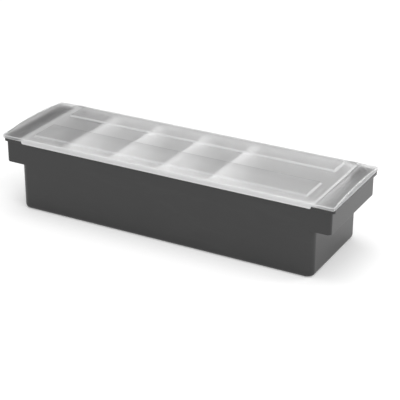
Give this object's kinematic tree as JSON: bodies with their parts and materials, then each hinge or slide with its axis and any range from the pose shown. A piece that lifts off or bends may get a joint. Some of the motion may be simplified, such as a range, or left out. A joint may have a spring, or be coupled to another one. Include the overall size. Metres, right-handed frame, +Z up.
{
  "type": "bar condiment holder",
  "caption": "Long black tub with hand ledges at its ends, a row of pale lift-out garnish inserts and a frosted one-piece lid hinged along the back.",
  "frame": {"origin": "centre of the tub's base on the table", "axes": "+X along the length to the end with the wide insert, -Y to the front, +Z up"},
  "size_m": [0.5006, 0.1525, 0.1114],
  "materials": {
    "tub_plastic": "satin moulded black",
    "insert_plastic": "milky white",
    "lid_plastic": "frosted translucent",
    "pin_steel": "plain drawn steel"
  },
  "bodies": {
    "holder": {"tub": "tub_plastic", "insert_1": "insert_plastic", "insert_2": "insert_plastic", "insert_3": "insert_plastic", "insert_4": "insert_plastic", "insert_large": "insert_plastic", "hinge_pin_left": "pin_steel", "hinge_pin_right": "pin_steel"},
    "lid": {"lid": "lid_plastic"}
  },
  "joints": [
    {"name": "lid_hinge", "type": "hinge", "parent": "holder", "child": "lid", "pos_m": [0, 0.07515, 0.098], "axis": [-1, 0, 0], "range_deg": [0, 105]}
  ]
}
